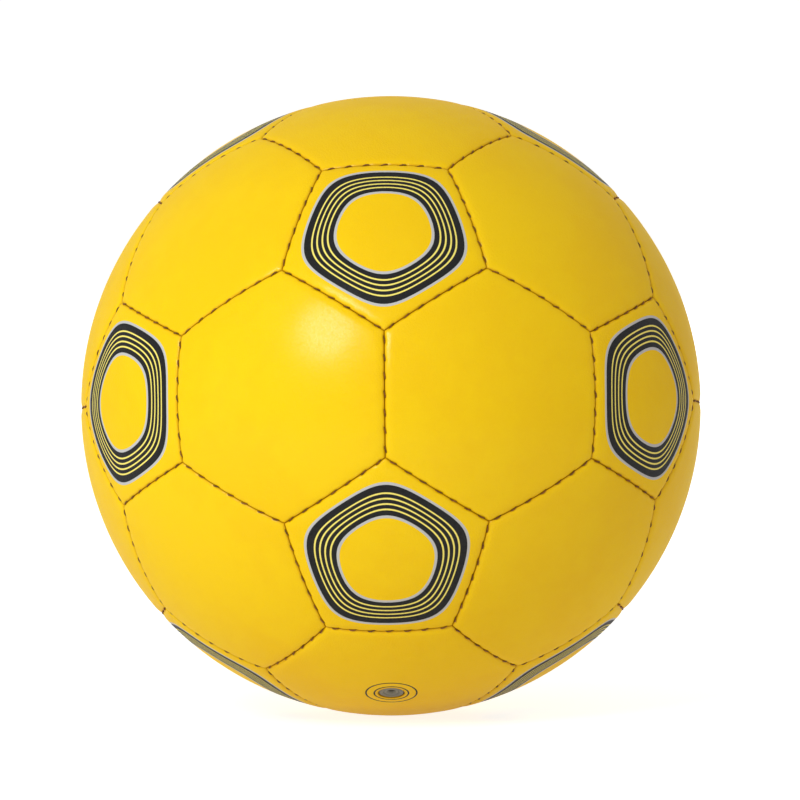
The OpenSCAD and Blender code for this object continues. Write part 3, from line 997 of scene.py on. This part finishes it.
def lathe(name, outline, closed, steps):
    """Turns an outline of (radius, height) points about the valve's axis."""
    bm = bmesh.new()
    verts = [bm.verts.new((radius, 0, height)) for radius, height in outline]
    pairs = list(zip(verts, verts[1:])) + ([(verts[-1], verts[0])] if closed else [])
    edges = [bm.edges.new(pair) for pair in pairs]
    spun(bm, verts + edges, (0, 0, 1), math.tau, steps)
    bmesh.ops.remove_doubles(bm, verts=bm.verts, dist=CLOSE)
    smoothed(bm)
    bmesh.ops.transform(bm, matrix=facing(VALVE_AXIS, "X").to_4x4(), verts=bm.verts)
    for edge in bm.edges:
        edge.smooth = len(edge.link_faces) != 2 or edge.calc_face_angle(0.0) <= SHARP
    return written(bm, name)


def facing(direction, up):
    """The turn that points Z in a direction."""
    return direction.to_track_quat("Z", up).to_matrix()


def on_sphere(radius, out):
    """The outline's point at this distance from the axis, on a sphere round the ball's middle."""
    return out, math.sqrt(radius**2 - out**2)


def dome(radius, start_r, end, count):
    """Points of an arc about the ball's middle, from a distance off the axis to an angle from it."""
    start = math.asin(start_r / radius)
    angles = [start + (end - start) * i / count for i in range(count + 1)]
    return [(abs(radius * math.sin(a)), radius * math.cos(a)) for a in angles]


def rounded(points, radius):
    """Rounds the corners of an outline, except on the axis: each becomes an arc between its two sides."""
    made = []
    for i, point in enumerate(points):
        if point[0] < CLOSE:
            made.append(point)
            continue
        here, before, after = Vector(point), Vector(points[i - 1]), Vector(points[(i + 1) % len(points)])
        cut = min(radius, (before - here).length * SIDE_SHARE, (after - here).length * SIDE_SHARE)
        a = here + (before - here).normalized() * cut
        b = here + (after - here).normalized() * cut
        for k in range(ARC_STEPS + 1):
            t = k / ARC_STEPS
            made.append(tuple(a * (1 - t) ** 2 + here * 2 * t * (1 - t) + b * t**2))
    return made


# Operators


class HANDBALL_OT_hexagon_leather(Operator):
    """Builds the twenty hexagon covers, one of them with the valve's hole and its two printed rings"""

    bl_idname = "handball.hexagon_leather"
    bl_label = "Hexagon covers"

    def execute(self, context):
        settings = context.scene.handball
        plain = leather("yellow_leather", settings)
        ringed = leather("yellow_leather_round_valve", settings, valve_print)
        leather_panels(settings, 6, lambda place: ringed if place.has_valve else plain)
        return {"FINISHED"}


class HANDBALL_OT_pentagon_leather(Operator):
    """Builds the twelve pentagon covers with their printed rings"""

    bl_idname = "handball.pentagon_leather"
    bl_label = "Pentagon covers"

    def execute(self, context):
        settings = context.scene.handball
        ringed = leather("yellow_leather_with_ring", settings, ring_print)
        leather_panels(settings, 5, lambda place: ringed)
        return {"FINISHED"}


class HANDBALL_OT_stitches(Operator):
    """Lays the stitches in all ninety seams"""

    bl_idname = "handball.stitches"
    bl_label = "Stitches"

    def execute(self, context):
        settings = context.scene.handball
        thread = thread_finish(settings)
        for sides in KINDS:
            stitch_row(settings, sides, thread)
        return {"FINISHED"}


class HANDBALL_OT_backing(Operator):
    """Builds the foam and the woven lining behind the covers"""

    bl_idname = "handball.backing"
    bl_label = "Foam and lining"

    def execute(self, context):
        settings = context.scene.handball
        _, foam, lining, _ = layer_sizes(settings.panels)
        soft, woven = foam_finish(settings), cloth_finish(settings)
        for sides in KINDS:
            backing(settings, sides, foam, "foam", soft)
            backing(settings, sides, lining, "lining", woven)
        return {"FINISHED"}


class HANDBALL_OT_bladder(Operator):
    """Builds the inflated rubber bladder and the patch that reinforces it round the valve"""

    bl_idname = "handball.bladder"
    bl_label = "Bladder and patch"

    def execute(self, context):
        settings = context.scene.handball
        sizes = settings.bladder
        rubber = rubber_finish("bladder_butyl", settings.colours.rubber, dust=0.05, rough=0.45)
        outer_r = layer_sizes(settings.panels)[3] - sizes.gap
        hole_r = settings.valve.neck_d / 2 + settings.panels.bond_t
        outer = dome(outer_r, hole_r, math.pi, BLADDER_ROWS)
        outer = [(r - sizes.mould_line if abs(z) <= sizes.mould_half else r, z) for r, z in outer]
        inner = dome(outer_r - sizes.wall, hole_r, math.pi, BLADDER_ROWS)
        shell = lathe("rubber_bladder", outer[::-1] + inner, False, BLADDER_STEPS)
        finished(shell, "ball", rubber, "bladder")
        low_r = outer_r + settings.panels.bond_t
        rim = sizes.patch_d / 2
        below = dome(low_r, hole_r, math.asin(rim / low_r), PATCH_ROWS)
        upper_rim = math.asin((rim - sizes.patch_slope) / low_r)
        above = dome(low_r + sizes.patch_t, hole_r, upper_rim, PATCH_ROWS)
        outline = rounded(below + above[::-1], PATCH_ROUNDING)
        patch = lathe("reinforcing_patch", outline, True, BLADDER_STEPS)
        finished(patch, "ball", rubber, "valve_patch")
        return {"FINISHED"}


class HANDBALL_OT_valve(Operator):
    """Builds the valve's housing and its plug with the needle's hole"""

    bl_idname = "handball.valve"
    bl_label = "Valve"

    def execute(self, context):
        settings = context.scene.handball
        sizes = settings.valve
        neck_top = BALL_R - sizes.neck_recess
        plug_top = neck_top - sizes.plug_recess
        plug_bottom = plug_top - sizes.plug_l
        self.housing(settings, sizes, neck_top, plug_bottom - sizes.plug_fit)
        self.plug(settings, sizes, plug_top, plug_bottom)
        return {"FINISHED"}

    def housing(self, settings, sizes, neck_top, bore_bottom):
        """The neck, the flange inside the bladder and the barrel, with the plug's bore and the air hole."""
        flange_r = layer_sizes(settings.panels)[3] - settings.bladder.gap - settings.bladder.wall
        flange_r -= settings.panels.bond_t
        under_r = flange_r - sizes.flange_t
        bore_r = sizes.plug_d / 2 + sizes.plug_fit
        neck_r, barrel_r, rim = sizes.neck_d / 2, sizes.barrel_d / 2, sizes.flange_d / 2
        outline = [
            (sizes.air_hole_d / 2, bore_bottom - sizes.barrel_end),
            (barrel_r, bore_bottom - sizes.barrel_end),
            on_sphere(under_r, barrel_r),
            *(on_sphere(under_r, rim * share) for share in FLANGE_UNDER),
            *(on_sphere(flange_r, rim * share) for share in FLANGE_OVER),
            on_sphere(flange_r, neck_r),
            (neck_r, neck_top - NECK_EDGE[1]),
            (neck_r - NECK_EDGE[0], neck_top),
            (bore_r + BORE_MOUTH[0], neck_top),
            (bore_r + BORE_MOUTH_BEND[0], neck_top - BORE_MOUTH_BEND[1]),
            (bore_r, neck_top - BORE_MOUTH[1]),
            (bore_r, bore_bottom),
            (sizes.air_hole_d / 2, bore_bottom),
        ]
        rubber = rubber_finish("valve_rubber_grey", settings.colours.valve, dust=0.04, rough=0.5)
        body = lathe("valve_body", rounded(outline, HOUSING_ROUNDING), True, VALVE_STEPS)
        finished(body, "ball", rubber, "valve_housing")

    def plug(self, settings, sizes, plug_top, plug_bottom):
        """The plug with its funnel and the needle's blind hole."""
        plug_r, needle_r, funnel_r = sizes.plug_d / 2, sizes.needle_d / 2, sizes.funnel_d / 2
        hole_top = plug_top - sizes.funnel_depth
        hole_bottom = hole_top - sizes.needle_depth
        chamfer = (plug_r - needle_r) / 2
        outline = [
            (0, plug_bottom),
            (plug_r - chamfer, plug_bottom),
            (plug_r, plug_bottom + chamfer),
            (plug_r, plug_top - PLUG_EDGE),
            (plug_r - PLUG_EDGE, plug_top),
            (funnel_r + FUNNEL_LIP, plug_top),
            (funnel_r - FUNNEL_LIP, plug_top - PLUG_EDGE),
            (needle_r, hole_top),
            (needle_r, hole_bottom + NEEDLE_END[1]),
            (needle_r - NEEDLE_END[0], hole_bottom),
            (0, hole_bottom),
        ]
        rubber = rubber_finish("valve_plug_rubber", settings.colours.valve, dust=0.02, rough=0.4)
        plug = lathe("sealing_plug", rounded(outline, PLUG_ROUNDING), False, PLUG_STEPS)
        finished(plug, "plug", rubber, "valve_plug")


class HANDBALL_OT_stage(Operator):
    """Sets the floor, the white surroundings, the lamps and the camera"""

    bl_idname = "handball.stage"
    bl_label = "Stage"

    def execute(self, context):
        stage = context.scene.handball.stage
        self.floor(context, stage)
        self.surroundings(context, stage)
        view = self.camera(context, stage)
        for name in ("key", "side", "back"):
            self.lamp(context, stage, view, name)
        context.scene.view_settings.view_transform = "Standard"
        return {"FINISHED"}

    def floor(self, context, stage):
        """The floor, white where it is seen, and see-through from below."""
        bm = bmesh.new()
        bmesh.ops.create_grid(bm, x_segments=8, y_segments=8, size=stage.floor_half)
        bmesh.ops.translate(bm, vec=(0, 0, CAD_BOX[0].z - stage.floor_drop), verts=bm.verts)
        floor = put("floor", written(bm, "floor"))
        nodes = Nodes(bpy.data.materials.new("pale_floor"))
        tint = opaque(context.scene.handball.colours.floor)
        matt = nodes.add("ShaderNodeBsdfDiffuse", inputs={"Color": tint})
        white = self.shine(nodes, "ShaderNodeEmission", stage, stage.floor_glow, stage.floor_shown)
        both = nodes.add("ShaderNodeAddShader", inputs={0: matt, 1: white})
        below = nodes.add("ShaderNodeNewGeometry", output="Backfacing")
        clear = nodes.add("ShaderNodeBsdfTransparent")
        one_sided = nodes.add("ShaderNodeMixShader", inputs={0: below, 1: both, 2: clear})
        nodes.add("ShaderNodeOutputMaterial", inputs={"Surface": one_sided})
        floor.data.materials.append(nodes.owner)

    def surroundings(self, context, stage):
        world = bpy.data.worlds.new("white_studio")
        context.scene.world = world
        nodes = Nodes(world)
        sky = self.shine(nodes, "ShaderNodeBackground", stage, stage.ambient, 1)
        nodes.add("ShaderNodeOutputWorld", inputs={"Surface": sky})

    def shine(self, nodes, kind, stage, given, shown):
        """Light that is warm where it falls on the ball, and white where it is seen, mirrored or not."""
        path = nodes.add("ShaderNodeLightPath", output="Is Camera Ray")
        seen = nodes.math("MAXIMUM", path, path.other("Is Glossy Ray"))
        seen = nodes.math("MAXIMUM", seen, path.other("Is Transmission Ray"))
        tint = nodes.mix(seen, opaque(stage.ambient_tint), WHITE)
        return nodes.add(kind, inputs={"Color": tint, "Strength": seen * (shown - given) + given})

    def camera(self, context, stage):
        """The camera at the photograph's angle. Returns its turn."""
        a, e = stage.azimuth, stage.elevation
        back = Vector((math.sin(a) * math.cos(e), -math.cos(a) * math.cos(e), math.sin(e)))
        turn = facing(back, "Y") @ Matrix.Rotation(-stage.roll, 3, "Z")
        data = bpy.data.cameras.new("camera")
        data.lens = stage.lens
        data.sensor_width = 36
        data.clip_start, data.clip_end = 0.1, 100
        camera = put("camera", data)
        spot = back * stage.distance + turn @ Vector((stage.aside, stage.above, 0))
        camera.matrix_world = Matrix.Translation(spot) @ turn.to_4x4()
        context.scene.camera = camera
        return turn

    def lamp(self, context, stage, view, name):
        """A round lamp in a direction from the camera's view. Only the main one shows in the gloss."""
        turn, rise, level = (getattr(stage, f"{name}_{part}") for part in ("turn", "rise", "level"))
        across, up, near = math.sin(turn) * math.cos(rise), math.sin(rise), math.cos(turn) * math.cos(rise)
        towards = view @ Vector((across, up, near))
        data = bpy.data.lights.new(name, "AREA")
        data.shape = "DISK"
        data.size = stage.lamp_size
        data.energy = level * math.pi**2 * stage.lamp_reach**2
        data.color = stage.lamp_tint
        lamp = put(name, data)
        lamp.matrix_world = Matrix.Translation(towards * stage.lamp_reach) @ facing(towards, "Y").to_4x4()
        lamp.visible_glossy = name == "key"


class HANDBALL_PT_sidebar(Panel):
    """Lists the steps and the sizes in the 3D view's sidebar"""

    bl_idname = "HANDBALL_PT_sidebar"
    bl_label = "Handball"
    bl_space_type = "VIEW_3D"
    bl_region_type = "UI"
    bl_category = "Handball"

    def draw(self, context):
        settings = context.scene.handball
        for step in STEPS:
            self.layout.operator(step.bl_idname)
        for group in HandballSettings.__annotations__:
            box = self.layout.box()
            box.label(text=group.capitalize())
            sizes = getattr(settings, group)
            for name in type(sizes).__annotations__:
                box.prop(sizes, name)


GROUPS = (
    PanelSizes,
    StitchSizes,
    PrintSizes,
    BladderSizes,
    ValveSizes,
    Colours,
    StageSizes,
    HandballSettings,
)
STEPS = (
    HANDBALL_OT_stage,
    HANDBALL_OT_hexagon_leather,
    HANDBALL_OT_pentagon_leather,
    HANDBALL_OT_stitches,
    HANDBALL_OT_backing,
    HANDBALL_OT_bladder,
    HANDBALL_OT_valve,
)
CLASSES = (*GROUPS, *STEPS, HANDBALL_PT_sidebar)


def register():
    for cls in CLASSES:
        bpy.utils.register_class(cls)
    bpy.types.Scene.handball = PointerProperty(type=HandballSettings)


def unregister():
    del bpy.types.Scene.handball
    for cls in reversed(CLASSES):
        bpy.utils.unregister_class(cls)


def main():
    register()
    for step in STEPS:
        family, name = step.bl_idname.split(".")
        getattr(getattr(bpy.ops, family), name)()


if __name__ == "__main__":
    main()
